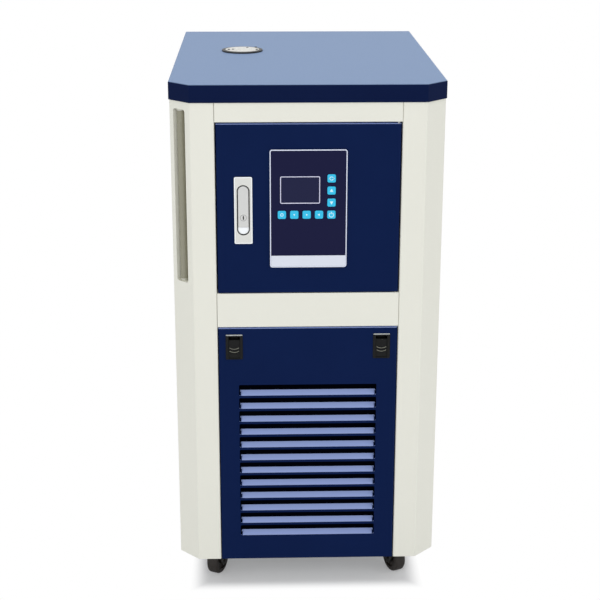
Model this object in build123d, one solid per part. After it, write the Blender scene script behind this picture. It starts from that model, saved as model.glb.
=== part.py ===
from build123d import *
import os
from math import cos, sin, radians, sqrt, pi

# Floor-standing temperature control unit for a jacketed glass reactor.
# A sheet-metal cabinet on four swivel casters holds a refrigeration set below
# and a liquid tank, heater vessel and control gear above.
# Millimetres. X to the right, Y to the back, Z up. The door, the keys and the
# louvres face -Y. The pieces are drawn about the middle of the cabinet, and then
# moved so that the origin is on the floor under the middle of the whole unit,
# hose nozzles included.

# Overall sizes
cover_width = 430.0
cover_depth = 595.0
total_height = 860.0
corner_cut = 33.0           # leg of the 45 degree cut at each front corner
skirt_height = 58.0         # floor to the lower edge of the cabinet

# Top cover
cover_height = 28.0
cover_sheet = 1.2
cover_gap = 0.3             # between the cover's skirt and the cabinet
cover_edge_radius = 2.0

# Cabinet sheet work
sheet = 1.5
bend_radius = 2.5           # outside radius of the cabinet's folds
column_face = 37.11         # flat front of each column, from the corner to the door opening
column_leg = 20.0           # inward leg at the edge of each front column
back_flange = 20.0
rail_side_gap = 0.3
top_rail_height = 30.3      # seen below the cover
mid_rail_height = 56.0
mid_rail_place = 0.5477     # its lower edge, as a share of the whole height
rail_flange = 24.0
rear_vent_count = 12
rear_vent_length = 52.0
rear_vent_width = 5.0
rear_vent_pitch = 15.0
rear_vent_columns = (-95.0, 0.0, 95.0)
rear_vent_low = 110.0

# Door
door_sheet = 1.5
door_side_gap = 2.0
door_top_gap = 3.2
door_bottom_gap = 1.5
door_fold = 18.0
door_bend_radius = 2.0
pin_inset = 4.0             # hinge pin to the door's edge and to its face
pin_radius = 2.0
pin_head_radius = 2.4
pin_clearance = 0.05
pin_reach = 12.0
hinge_block = 10.0

# Flush handle lock
lock_rise = -0.5            # lock's middle above the door's middle
lock_width = 28.0
lock_length = 107.0
lock_flange = 1.6           # how far the housing's rim stands out
lock_corner = 3.0
pocket_depth = 12.5
pocket_wall = 2.0
pocket_gap = 0.8
lever_width = 17.6
lever_length = 78.0
lever_top_drop = 14.0       # from the rim's top to the lever's top
lever_thick = 6.0
button_length = 11.4
button_gap = 0.4
lever_pin_radius = 1.5
plug_radius = 4.0
plug_from_lever_end = 15.5
spindle_radius = 4.0
cam_reach = 46.5
cam_width = 12.0
cam_thick = 2.5
cam_clear = 7.0             # door fold to cam

# Controller
panel_width = 120.0
panel_height = 189.0
panel_rise = 1.5            # controller's middle above the door's middle
panel_proud = 2.0
panel_corner = 4.0
panel_rim = 1.6
panel_rim_height = 0.5
bezel_thick = 4.0
case_depth = 52.0
case_inset = 3.0
strip_height = 17.5
strip_thick = 0.4
strip_gap = 0.2
screen_width = 60.5
screen_height = 42.0
screen_x = -13.0
screen_drop = 42.9          # below the controller's top
key_size = 12.9
key_corner = 2.5
key_pitch = 19.25
key_column_x = 35.7
key_drop = 45.7             # top key's middle below the controller's top
key_proud = 0.6
key_gap = 0.25
key_flange = 1.2
key_flange_thick = 1.0
key_travel = 0.8

# Lower panel with louvres and two slide latches
panel_gap_top = 3.0
panel_gap_side = 1.2
panel_fold = 15.0
louvre_count = 12
louvre_pitch = 22.84
louvre_margin = 33.1        # from a louvre's end to the door opening's side
louvre_drop = 96.5          # top louvre's window below the panel's top
flap_end_gap = 1.9          # between the lip's ends and the window
louvre_window = 18.6
louvre_corner = 2.0
flap_rise = 7.5
flap_depth = 6.5
flap_sheet = 1.2
latch_inset = 25.1          # latch's middle from the panel's edge
latch_width = 27.5
latch_height = 42.0
latch_top_drop = 10.0
latch_flange = 1.4
latch_lip = 1.3             # how far the latch's rim laps over the panel
latch_depth = 13.0
latch_wall = 3.6
slider_width = 17.5
slider_height = 30.5
slider_travel = 5.5
slider_gap = 0.4
bolt_width = 12.0
bolt_thick = 4.0
bolt_clear = 1.5            # below the mid rail when the bolt is drawn back
peg_radius = 3.0
peg_height = 66.0
peg_inset = 10.0
peg_x = 100.0
hook_width = 10.0
ear_thick = 3.0
ear_gap = 0.4

# Filler cap, tank and liquid side
filler_x = -104.0
filler_y = 46.0
cap_radius = 35.5
cap_thick = 4.0
cap_hole_radius = 1.7
cap_hole_depth = 2.5
cap_holes = ((24.0, 194.0), (17.0, 198.0), (15.5, 57.0), (26.0, 347.0), (31.0, 41.0))
cap_plug_length = 16.0
cap_plug_gap = 0.4
neck_radius = 29.0
neck_wall = 1.5
neck_gap = 1.0
tank_width = 140.0
tank_depth = 210.0
tank_stand = 134.0          # deck to the tank's floor
tank_top_drop = 62.0        # below the cover's top
tank_wall = 2.0
tank_y = 60.0
vessel_radius = 58.0
vessel_height = 230.0
vessel_x = 80.0
vessel_back = 131.0         # vessel's middle from the cabinet's back
tube_radius = 6.0
return_bend = 20.0
port_radius = 8.0
port_length = 28.0
port_hexagon = 10.0         # thickness of the nozzle's hexagon
port_stub = 12.0            # nozzle's end inside the rear panel
port_x = 80.0
outlet_z = 660.0
inlet_z = 560.0
drain_z = 420.0

# Level slot in the left front corner
slot_width = 26.0
slot_drop = 39.3            # slot's top below the cabinet's top
slot_length = 277.0
slot_corner = 4.0
slot_shift = -1.5           # from the middle of the corner face, to the back
channel_depth = 19.0
channel_sheet = 1.2
channel_lip = 4.0
sight_radius = 6.6
sight_bore = 4.8
sight_shift = -6.1
sight_inset = 9.8
fitting_radius = 7.2
fitting_height = 4.0
fitting_seat = 2.0          # how deep the tube sits in each fitting

# Frame and refrigeration set
base_height = 70.0
base_sheet = 2.5
base_flange = 12.0
shelf_sheet = 1.5
shelf_flange = 18.0
gear_plate_back = 146.0     # gear plate behind the cabinet's front
gear_plate_width = 250.0
gear_plate_height = 300.0
gear_plate_sheet = 2.0
condenser_width = 260.0
condenser_height = 300.0
condenser_depth = 44.0
condenser_back = 34.0       # condenser behind the cabinet's front
fin_count = 16
fan_radius = 105.0
fan_depth = 28.0
fan_gap = 3.0
hub_radius = 34.0
blade_count = 7
shroud_depth = 40.0
compressor_radius = 82.0
compressor_height = 215.0
compressor_x = -80.0
compressor_to_back = 166.0  # compressor's middle from the cabinet's back
pump_x = 95.0
pump_to_back = 176.0        # pump's middle from the cabinet's back
pump_radius = 48.0
pump_length = 150.0

# Casters
wheel_radius = 25.0
wheel_width = 20.0
wheel_bore = 4.0
bore_gap = 0.05
fork_wall = 2.5
fork_gap = 1.2
caster_trail = 16.0
caster_inset = 54.5         # swivel axis from the cabinet's side
caster_front = 48.0         # swivel axis behind the cabinet's front
caster_back = 55.0
race_height = 7.0
race_gap = 0.4
caster_plate = 46.0
caster_plate_sheet = 3.0
front_toe = -24.0           # degrees that each front caster is turned at rest

overhang = cover_sheet + cover_gap
half_width = cover_width / 2 - overhang
half_depth = cover_depth / 2 - overhang
front = -half_depth
body_cut = corner_cut - overhang * (2 - sqrt(2))
body_top = total_height - cover_sheet
cover_bottom = total_height - cover_height
fascia_half = half_width - body_cut - column_face
mid_rail_bottom = mid_rail_place * total_height
top_rail_bottom = cover_bottom - top_rail_height
mid_rail_top = mid_rail_bottom + mid_rail_height
door_top = top_rail_bottom - door_top_gap
door_bottom = mid_rail_top + door_bottom_gap
door_half = fascia_half - door_side_gap
pin_x = door_half - pin_inset
pin_y = front + pin_inset
lower_top = mid_rail_bottom - panel_gap_top
lower_half = fascia_half - panel_gap_side
louvre_width = 2 * (fascia_half - louvre_margin)
louvre_first = lower_top - louvre_drop
latch_x = lower_half - latch_inset
peg_y = front + peg_inset
shelf_z = mid_rail_bottom + sheet
inner_half = half_width - sheet
inner_back = half_depth - 2 * sheet - bend_radius
corner_clear = 2 * bend_radius
rear_reach = half_depth + port_hexagon + port_length
front_reach = half_depth + panel_proud + panel_rim_height
origin_y = (rear_reach - front_reach) / 2
door_middle = (door_top + door_bottom) / 2
lock_x = -(panel_width / 2 + door_half) / 2
lock_top = door_middle + lock_rise + lock_length / 2
panel_top = door_middle + panel_rise + panel_height / 2
screen_top = panel_top - screen_drop
key_top_z = panel_top - key_drop
slot_top = body_top - slot_drop
vessel_y = half_depth - vessel_back
compressor_y = half_depth - compressor_to_back
pump_y = half_depth - pump_to_back
condenser_y = front + condenser_back
gear_plate_y = front + gear_plate_back
caster_x = half_width - caster_inset
lever_top = lock_top - lever_top_drop
lever_pin_z = lever_top - lever_width / 2
lever_pin_y = front - lock_flange + lever_thick / 2 + 0.6
plug_z = lever_top - lever_length + button_length + plug_from_lever_end
key_places = [(key_column_x, key_top_z - i * key_pitch) for i in range(4)]
key_places += [(key_column_x - i * key_pitch, key_top_z - 3 * key_pitch) for i in (4, 3, 2, 1)]
key_names = ["key_cycle", "key_up", "key_down", "key_power"]
key_names += ["key_set", "key_menu", "key_right", "key_left"]


def block(x0, x1, y0, y1, z0, z1):
    """A box between two corners."""
    size = (x1 - x0, y1 - y0, z1 - z0)
    return Pos((x0 + x1) / 2, (y0 + y1) / 2, (z0 + z1) / 2) * Box(*size)


def rod(radius, length, start, direction):
    """A round bar from start along direction."""
    return Plane(origin=start, z_dir=direction) * Cylinder(
        radius, length, align=(Align.CENTER, Align.CENTER, Align.MIN)
    )


def front_plate(width, height, corner, x, z_top, y0, y1):
    """A round-cornered plate that faces the front, between depths y0 and y1."""
    plane = Plane(origin=(x, y0, z_top - height / 2), x_dir=(1, 0, 0), z_dir=(0, 1, 0))
    return extrude(plane * RectangleRounded(width, height, corner), y1 - y0)


def obround(width, length, x, z_top, y0, y1):
    """An upright bar with round ends that faces the front."""
    plane = Plane(origin=(x, y0, z_top - length / 2), x_dir=(1, 0, 0), z_dir=(0, 1, 0))
    return extrude(plane * SlotOverall(length, width, rotation=90), y1 - y0)


def folded_wall(points, radius, thickness, side, z0, z1):
    """Sheet metal folded along a line in plan, from z0 to z1."""
    line = FilletPolyline(*points, radius=radius)
    profile = make_face(offset(line, amount=thickness, side=side))
    return extrude(Pos(0, 0, z0) * profile, z1 - z0)


def corner_plane(shift=0.0):
    """Plane on the left corner face: x runs to the front, y into the cabinet."""
    middle = body_cut / 2
    along = shift / sqrt(2)
    origin = (-half_width + middle + along, front + middle - along, 0)
    return Plane(origin=origin, x_dir=(1, -1, 0), z_dir=(0, 0, 1))


def in_corner(shape):
    """Moves a shape drawn at the slot onto the corner face."""
    return corner_plane(slot_shift) * shape


def side_panel():
    """Left side, cut corner, front column and their legs, folded from one sheet."""
    points = [
        (-half_width + back_flange, half_depth - sheet),
        (-half_width, half_depth - sheet),
        (-half_width, front + body_cut),
        (-half_width + body_cut, front),
        (-fascia_half, front),
        (-fascia_half, front + column_leg),
    ]
    return folded_wall(points, bend_radius, sheet, Side.LEFT, skirt_height, body_top)


def slot_cut():
    """The round-cornered slot through the corner face."""
    plane = Plane(
        origin=(0, -channel_depth / 2, slot_top - slot_length / 2),
        x_dir=(1, 0, 0),
        z_dir=(0, 1, 0),
    )
    return extrude(plane * RectangleRounded(slot_width, slot_length, slot_corner), channel_depth)


def side_panel_left():
    return side_panel() - in_corner(slot_cut())


def side_panel_right():
    return mirror(side_panel(), about=Plane.YZ)


def rear_panel():
    """Flat plate over the side panels' back flanges, with vents and port holes."""
    plate = block(-half_width, half_width, half_depth - sheet, half_depth, skirt_height, body_top)
    vents = []
    for x in rear_vent_columns:
        for i in range(rear_vent_count):
            z = rear_vent_low + i * rear_vent_pitch
            plane = Plane(origin=(x, half_depth - 2 * sheet, z), x_dir=(1, 0, 0), z_dir=(0, -1, 0))
            vents.append(
                extrude(plane * SlotOverall(rear_vent_length, rear_vent_width), -3 * sheet)
            )
    hole = port_radius + 0.5
    holes = [
        rod(hole, 4 * sheet, (port_x, half_depth - 3 * sheet, z), (0, 1, 0))
        for z in (outlet_z, inlet_z, drain_z)
    ]
    holes.append(rod(hole, 4 * sheet, (-port_x, half_depth - 3 * sheet, inlet_z), (0, 1, 0)))
    return plate - vents - holes


def cover_outline(inset):
    """The cover seen from above, with its two front corners cut."""
    x = cover_width / 2 - inset
    y = cover_depth / 2 - inset
    cut = corner_cut - inset * (2 - sqrt(2))
    return Polygon(
        (-x, y), (-x, -y + cut), (-x + cut, -y), (x - cut, -y), (x, -y + cut), (x, y), align=None
    )


def top_cover():
    """An inverted tray that drops over the cabinet's upper edge."""
    solid = Pos(0, 0, cover_bottom) * extrude(cover_outline(0), cover_height)
    solid = fillet(solid.edges().group_by(Axis.Z)[-1], cover_edge_radius)
    hollow = extrude(cover_outline(cover_sheet), cover_height - cover_sheet)
    solid -= Pos(0, 0, cover_bottom) * hollow
    hole = neck_radius + neck_gap
    return solid - rod(hole, 2 * cover_height, (filler_x, filler_y, cover_bottom), (0, 0, 1))


def pin_place(z):
    return (pin_x, pin_y, z)


def top_rail():
    """Channel above the door. Its lower flange holds the upper hinge pin."""
    x = fascia_half - rail_side_gap
    face = block(-x, x, front, front + sheet, top_rail_bottom, body_top)
    flange = block(-x, x, front, front + rail_flange, top_rail_bottom, top_rail_bottom + sheet)
    rail = face + flange
    fold = rail.edges().filter_by(Axis.X).sort_by(lambda e: e.center().Y + e.center().Z)[0]
    rail = fillet(fold, 1.0)
    return rail - rod(pin_radius, 4 * sheet, pin_place(top_rail_bottom - sheet), (0, 0, 1))


def mid_rail():
    """Channel between the door and the louvred panel, with slots for the bolts."""
    x = fascia_half - rail_side_gap
    face = block(-x, x, front, front + sheet, mid_rail_bottom, mid_rail_top)
    upper = block(-x, x, front, front + rail_flange, mid_rail_top - sheet, mid_rail_top)
    lower = block(-x, x, front, front + rail_flange, mid_rail_bottom, shelf_z)
    rail = face + upper + lower
    rail -= rod(pin_radius, 4 * sheet, pin_place(mid_rail_top - 2 * sheet), (0, 0, 1))
    bolt_y = front + latch_depth - bolt_thick / 2 - slider_gap
    for x in (-latch_x, latch_x):
        w = bolt_width / 2 + 1.0
        d = bolt_thick / 2 + 1.0
        z = mid_rail_bottom - sheet
        rail -= block(x - w, x + w, bolt_y - d, bolt_y + d, z, z + 4 * sheet)
    return rail


def hinge_pins():
    """Two headed pins, one down from the top rail and one up from the mid rail."""
    upper = rod(pin_radius, pin_reach + door_top_gap + sheet, pin_place(door_top - pin_reach), (0, 0, 1))
    upper += rod(pin_head_radius, 1.6, pin_place(top_rail_bottom + sheet), (0, 0, 1))
    lower = rod(
        pin_radius, pin_reach + door_bottom_gap + sheet, pin_place(mid_rail_top - sheet), (0, 0, 1)
    )
    lower += rod(pin_head_radius, 1.6, pin_place(mid_rail_top - sheet), (0, 0, -1))
    return Compound([upper, lower])


def tray(half, z0, z1, fold, thickness):
    """A front panel with its four edges folded back."""
    outer = block(-half, half, front, front + fold, z0, z1)
    inner = block(
        -half + thickness, half - thickness, front + thickness, front + fold + 1,
        z0 + thickness, z1 - thickness,
    )
    return outer, inner


def door_panel():
    """Upper door: a folded tray with openings for the lock and the controller."""
    outer, inner = tray(door_half, door_bottom, door_top, door_fold, door_sheet)
    outer = fillet(outer.edges().filter_by(Axis.Z).group_by(Axis.Y)[0], door_bend_radius)
    door = outer - inner
    for z0, z1 in ((door_top - door_sheet - pin_reach, door_top - door_sheet),
                   (door_bottom + door_sheet, door_bottom + door_sheet + pin_reach)):
        x1 = door_half - door_sheet
        y0 = front + door_sheet
        door += block(x1 - hinge_block, x1, y0, y0 + hinge_block, z0, z1)
    bore = pin_radius + pin_clearance
    depth = pin_reach + 2 * door_sheet
    door -= rod(bore, depth, pin_place(door_top - pin_reach - door_sheet), (0, 0, 1))
    door -= rod(bore, depth, pin_place(door_bottom + pin_reach + door_sheet), (0, 0, -1))
    w = panel_width / 2 - case_inset
    z1 = panel_top - case_inset
    door -= block(-w, w, front - 1, front + 5, z1 - panel_height + 2 * case_inset, z1)
    w = lever_width / 2 + pocket_gap + pocket_wall + 0.3
    z1 = lever_top + pocket_gap + pocket_wall + 0.3
    z0 = lever_top - lever_length - pocket_gap - pocket_wall - 0.3
    return door - block(lock_x - w, lock_x + w, front - 1, front + 5, z0, z1)


def lock_housing():
    """Flush dish of the lock: a rim on the door and a deep pocket for the handle."""
    rim = front_plate(
        lock_width, lock_length, lock_corner, lock_x, lock_top, front - lock_flange, front
    )
    rim = chamfer(rim.faces().sort_by(Axis.Y)[0].edges(), 0.8)
    wall = pocket_gap + pocket_wall
    y1 = front + pocket_depth - lock_flange + pocket_wall
    body = obround(
        lever_width + 2 * wall, lever_length + 2 * wall, lock_x, lever_top + wall, front, y1
    )
    body += rod(spindle_radius + 4, door_fold + 1.0 - (y1 - front), (lock_x, y1, lever_pin_z), (0, 1, 0))
    pocket = obround(
        lever_width + 2 * pocket_gap, lever_length + 2 * pocket_gap, lock_x,
        lever_top + pocket_gap, front - 2 * lock_flange, y1 - pocket_wall,
    )
    housing = rim + body - pocket
    reach = lever_width / 2 + wall - 0.5
    pin = Plane(origin=(lock_x - reach, lever_pin_y, lever_pin_z), z_dir=(1, 0, 0))
    housing -= pin * Cylinder(lever_pin_radius, 2 * reach, align=(Align.CENTER, Align.CENTER, Align.MIN))
    housing -= rod(spindle_radius + bore_gap, 40, (lock_x, y1 - 2 * pocket_wall, lever_pin_z), (0, 1, 0))
    return housing


def lever_shape():
    """The handle and the button together, as one rounded bar in the pocket."""
    y0 = lever_pin_y - lever_thick / 2
    bar = obround(lever_width, lever_length, lock_x, lever_top, y0, y0 + lever_thick)
    return chamfer(bar.faces().sort_by(Axis.Y)[0].edges(), 0.9)


def button_line():
    return lever_top - lever_length + button_length


def lock_lever():
    """Pop-out handle on a cross pin, with the hole for the key plug."""
    cut = block(
        lock_x - lever_width, lock_x + lever_width, front - 10, front + 20,
        lever_top - 2 * lever_length, button_line() + button_gap,
    )
    lever = lever_shape() - cut
    collar = rod(plug_radius + 1.6, 0.5, (lock_x, lever_pin_y - lever_thick / 2, plug_z), (0, -1, 0))
    reach = lever_width / 2 + pocket_gap + pocket_wall - 1.0
    pin = rod(lever_pin_radius - bore_gap, 2 * reach, (lock_x - reach, lever_pin_y, lever_pin_z), (1, 0, 0))
    bore = rod(
        plug_radius + bore_gap, 3 * lever_thick, (lock_x, lever_pin_y - lever_thick, plug_z), (0, 1, 0)
    )
    return lever + collar + pin - bore


def lock_button():
    """Push button that frees the handle; it is the bar's lower end."""
    cut = block(
        lock_x - lever_width, lock_x + lever_width, front - 10, front + 20,
        button_line(), lever_top + lever_length,
    )
    return lever_shape() - cut


def lock_plug():
    """Key plug with its keyway."""
    y0 = lever_pin_y - lever_thick / 2 - 0.5
    plug = rod(plug_radius, lever_thick + 0.5, (lock_x, y0, plug_z), (0, 1, 0))
    return plug - block(lock_x - 0.7, lock_x + 0.7, y0 - 1, y0 + 3, plug_z - 2.8, plug_z + 2.8)


def lock_cam():
    """Spindle and cam. The cam is shown drawn back, upright behind the door."""
    y0 = front + pocket_depth - lock_flange + 0.3
    y1 = front + door_fold + cam_clear
    spindle = rod(spindle_radius, y1 - y0, (lock_x, y0, lever_pin_z), (0, 1, 0))
    plane = Plane(
        origin=(lock_x, y1, lever_pin_z + (cam_reach - cam_width / 2) / 2),
        x_dir=(1, 0, 0), z_dir=(0, 1, 0),
    )
    blade = extrude(plane * SlotOverall(cam_reach + cam_width / 2, cam_width, rotation=90), cam_thick)
    return spindle + blade


def controller_bezel():
    """Face moulding of the controller, with the screen window and the key holes."""
    y0 = front - panel_proud
    plate = front_plate(
        panel_width, panel_height, panel_corner, 0, panel_top, y0, y0 + bezel_thick - panel_proud
    )
    rim = front_plate(
        panel_width, panel_height, panel_corner, 0, panel_top, y0 - panel_rim_height, y0
    )
    rim = chamfer(rim.faces().sort_by(Axis.Y)[0].edges(), panel_rim_height * 0.8)
    rim -= front_plate(
        panel_width - 2 * panel_rim, panel_height - 2 * panel_rim, panel_corner - panel_rim, 0,
        panel_top - panel_rim, y0 - 2, y0,
    )
    neck_half = panel_width / 2 - case_inset - 0.5
    neck_top = panel_top - case_inset - 0.5
    neck_low = panel_top - panel_height + case_inset + 0.5
    neck = block(-neck_half, neck_half, front, y0 + bezel_thick, neck_low, neck_top)
    bezel = plate + rim + neck
    bezel -= front_plate(
        screen_width, screen_height, 2.0, screen_x, screen_top, y0 - 2, y0 + bezel_thick + 1
    )
    hole = key_size + 2 * key_gap
    for x, z in key_places:
        bezel -= front_plate(
            hole, hole, key_corner + key_gap, x, z + hole / 2, y0 - 2, y0 + bezel_thick + 1
        )
    return bezel


def controller_case():
    """Box behind the bezel: it holds the screen and gives the keys their room."""
    y0 = front - panel_proud + bezel_thick
    w = panel_width / 2 - case_inset - 0.5
    z1 = panel_top - case_inset - 0.5
    z0 = panel_top - panel_height + case_inset + 0.5
    case = block(-w, w, y0, y0 + case_depth, z0, z1)
    room = key_size + 2 * key_flange + 2 * key_gap
    depth = key_flange_thick + key_travel + 0.3
    for x, z in key_places:
        case -= block(x - room / 2, x + room / 2, y0 - 1, y0 + depth, z - room / 2, z + room / 2)
    return case


def screen_lens():
    """Display window set a little below the face."""
    y0 = front - panel_proud
    return front_plate(
        screen_width - 0.4, screen_height - 0.4, 1.8, screen_x, screen_top - 0.2,
        y0 + 0.6, y0 + bezel_thick,
    )


def name_strip():
    """Pale metal strip across the controller's foot, left plain."""
    y0 = front - panel_proud
    low = panel_top - panel_height + panel_rim + strip_gap
    half = panel_width / 2 - panel_rim - strip_gap
    strip = block(-half, half, y0 - strip_thick, y0, low, low + strip_height)
    lower = strip.edges().filter_by(Axis.Y).group_by(Axis.Z)[0]
    return fillet(lower, panel_corner - panel_rim)


def key(x, z):
    """Round-cornered key cap with a stop flange behind the face."""
    y0 = front - panel_proud
    back = y0 + bezel_thick
    cap = front_plate(key_size, key_size, key_corner, x, z + key_size / 2, y0 - key_proud, back)
    cap = chamfer(cap.faces().sort_by(Axis.Y)[0].edges(), 0.3)
    stop = key_size / 2 + key_flange
    return cap + block(x - stop, x + stop, back, back + key_flange_thick, z - stop, z + stop)


def louvre_window_cut(z_top):
    """Window of one louvre, with its upper corners rounded."""
    plane = Plane(
        origin=(0, front - 1, z_top - louvre_window / 2), x_dir=(1, 0, 0), z_dir=(0, 1, 0)
    )
    return extrude(plane * RectangleRounded(louvre_width, louvre_window, louvre_corner), sheet + 2)


def louvre_flap(z_top):
    """Lip of one louvre, pressed inwards from the window's lower edge, with its ends."""
    z0 = z_top - louvre_window
    half = louvre_width / 2 - flap_end_gap
    lip = [
        (front, z0), (front + flap_depth, z0 + flap_rise),
        (front + flap_depth + flap_sheet, z0 + flap_rise - flap_sheet),
        (front + flap_sheet * 1.4, z0 - flap_sheet), (front, z0 - flap_sheet),
    ]
    end = [(front, z0), (front + flap_depth, z0 + flap_rise), (front, z0 + flap_rise)]
    flap = extrude(Plane.YZ * Polygon(*lip, align=None), half, both=True)
    for x in (-half + flap_sheet / 2, half - flap_sheet / 2):
        gusset = extrude(Plane.YZ * Polygon(*end, align=None), flap_sheet / 2, both=True)
        flap += Pos(x, 0, 0) * gusset
    return flap


def lower_panel():
    """Louvred tray that hangs on two pegs below and two latches above."""
    outer, inner = tray(lower_half, skirt_height, lower_top, panel_fold, sheet)
    outer = fillet(outer.edges().filter_by(Axis.Z).group_by(Axis.Y)[0], door_bend_radius)
    panel = outer - inner
    # the lower fold stops short, so that the panel can swing round its pegs
    panel -= block(-lower_half + sheet, lower_half - sheet, front + 5, front + 20, skirt_height - 1,
                   skirt_height + 3)
    windows = [louvre_window_cut(louvre_first - i * louvre_pitch) for i in range(louvre_count)]
    flaps = [louvre_flap(louvre_first - i * louvre_pitch) for i in range(louvre_count)]
    panel = panel - windows + flaps
    latch_top = lower_top - latch_top_drop
    for x in (-latch_x, latch_x):
        w = latch_width / 2 - latch_lip + 0.2
        panel -= block(
            x - w, x + w, front - 1, front + 5,
            latch_top - latch_height + latch_lip - 0.2, latch_top - latch_lip + 0.2,
        )
        b = bolt_width / 2 + 1.0
        y1 = front + latch_depth + 1.0
        panel -= block(x - b, x + b, y1 - bolt_thick - 3, y1, lower_top - 5, lower_top + 1)
    for x in (-peg_x, peg_x):
        lug = block(
            x - hook_width / 2, x + hook_width / 2, front + sheet, peg_y + 5,
            peg_height - 4, peg_height + 9,
        )
        groove = rod(peg_radius + 0.1, 2 * hook_width, (x - hook_width, peg_y, peg_height), (1, 0, 0))
        mouth = block(
            x - hook_width, x + hook_width, peg_y - peg_radius - 0.1, peg_y + peg_radius + 0.1,
            peg_height - 10, peg_height,
        )
        panel += lug - groove - mouth
    return panel


def latch_housing(x):
    """Frame of a slide latch, pressed into the panel."""
    top = lower_top - latch_top_drop
    y0 = front - latch_flange
    rim = front_plate(latch_width, latch_height, 1.5, x, top, y0, front)
    rim = chamfer(rim.faces().sort_by(Axis.Y)[0].edges(), 0.7)
    w = latch_width / 2 - latch_lip
    body = block(
        x - w, x + w, front, front + latch_depth + 1.5,
        top - latch_height + latch_lip, top - latch_lip,
    )
    room_w = slider_width / 2 + slider_gap
    z1 = top - latch_wall + slider_gap
    z0 = z1 - slider_height - slider_travel - 2 * slider_gap
    room = block(x - room_w, x + room_w, y0 - 1, front + latch_depth, z0, z1)
    bolt_w = bolt_width / 2 + slider_gap
    channel = block(
        x - bolt_w, x + bolt_w, front + latch_depth - bolt_thick - 2 * slider_gap,
        front + latch_depth, z1 - 1, top + 1,
    )
    return rim + body - room - channel


def latch_housings():
    return Compound([latch_housing(-latch_x), latch_housing(latch_x)])


def latch_slider(x):
    """Slide of a latch with two finger ridges; its bolt points up."""
    top = lower_top - latch_top_drop
    z1 = top - latch_wall - slider_travel
    z0 = z1 - slider_height
    y0 = front - latch_flange + 1.0
    y1 = front + latch_depth - slider_gap
    w = slider_width / 2
    slide = block(x - w, x + w, y0, y1, z0, z1)
    for i in (0, 1):
        z = z0 + slider_height * 0.42 - i * 5.0
        slide += rod(0.8, slider_width - 5, (x - w + 2.5, y0, z), (1, 0, 0))
    b = bolt_width / 2
    bolt_top = mid_rail_bottom - bolt_clear
    return slide + block(x - b, x + b, y1 - bolt_thick, y1, z1 - 1, bolt_top)


def base_plate():
    """Floor pan of the cabinet, with the ears and pegs that carry the lower panel."""
    back = inner_back
    shoulder = front + body_cut + corner_clear
    pan = block(-inner_half, inner_half, shoulder, back, base_height, base_height + base_sheet)
    tongue = fascia_half - sheet - 2.0
    nose = front + 18.0
    pan += block(-tongue, tongue, nose, shoulder, base_height, base_height + base_sheet)
    for x in (-inner_half, inner_half - base_sheet):
        pan += block(x, x + base_sheet, shoulder, back, base_height, base_height + base_flange)
    for x in (-peg_x, peg_x):
        for side in (-1, 1):
            x0 = x + side * (hook_width / 2 + ear_gap + ear_thick / 2)
            pan += block(
                x0 - ear_thick / 2, x0 + ear_thick / 2, peg_y - 5, nose + 2,
                peg_height - 5, base_height + base_sheet,
            )
        reach = hook_width / 2 + ear_gap + ear_thick
        pan += rod(peg_radius, 2 * reach, (x - reach, peg_y, peg_height), (1, 0, 0))
    return pan


def mid_shelf():
    """Deck between the two compartments, resting on the mid rail's lower flange."""
    back = inner_back
    shoulder = front + body_cut + corner_clear
    shelf = block(-inner_half, inner_half, shoulder, back, shelf_z, shelf_z + shelf_sheet)
    tongue = fascia_half - sheet - 2.0
    shelf += block(-tongue, tongue, front + rail_flange - 8, shoulder, shelf_z, shelf_z + shelf_sheet)
    for x in (-inner_half, inner_half - shelf_sheet):
        shelf += block(x, x + shelf_sheet, shoulder, back, shelf_z - shelf_flange, shelf_z)
    return shelf


def sight_channel():
    """Recess behind the slot: a folded channel with closed ends."""
    w = slot_width / 2 + 0.5
    z1 = slot_top + 0.5
    z0 = slot_top - slot_length - 0.5
    t = channel_sheet
    y0 = sheet
    outer = block(-w - t, w + t, y0, y0 + channel_depth, z0 - t, z1 + t)
    lip = block(-w - channel_lip, w + channel_lip, y0, y0 + t, z0 - channel_lip, z1 + channel_lip)
    inner = block(-w, w, y0 - 1, y0 + channel_depth - t, z0, z1)
    channel = outer + lip - inner
    for z in (z0 - 2 * t, z1):
        channel -= rod(sight_bore + 1.0, 2 * t, (sight_shift, sight_inset, z), (0, 0, 1))
    return in_corner(channel)


def sight_tube():
    """Clear level tube between its two fittings."""
    z0 = slot_top - slot_length - 0.5 + fitting_height - fitting_seat
    z1 = slot_top + 0.5 - fitting_height + fitting_seat
    place = (sight_shift, sight_inset, z0)
    tube = rod(sight_radius, z1 - z0, place, (0, 0, 1)) - rod(sight_bore, z1 - z0, place, (0, 0, 1))
    return in_corner(tube)


def sight_fittings():
    """Upper and lower nuts that seal the level tube."""
    nuts = []
    z0 = slot_top - slot_length - 0.5
    for z, rise in ((z0, 1), (slot_top + 0.5, -1)):
        start = (sight_shift, sight_inset, z)
        nut = rod(fitting_radius, fitting_height, start, (0, 0, rise))
        nut += rod(sight_bore + 1.0, 6.0, start, (0, 0, -rise))
        seat = z + rise * (fitting_height - fitting_seat)
        nut -= rod(sight_radius, fitting_height, (sight_shift, sight_inset, seat), (0, 0, rise))
        nut -= rod(sight_bore, 10 * fitting_height, (sight_shift, sight_inset, z - rise * 20), (0, 0, rise))
        nuts.append(in_corner(nut))
    return Compound(nuts)


def tank_box():
    z0 = shelf_z + shelf_sheet + tank_stand
    x0 = filler_x - tank_width / 2
    y0 = tank_y - tank_depth / 2
    return x0, x0 + tank_width, y0, y0 + tank_depth, z0, total_height - tank_top_drop


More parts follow.
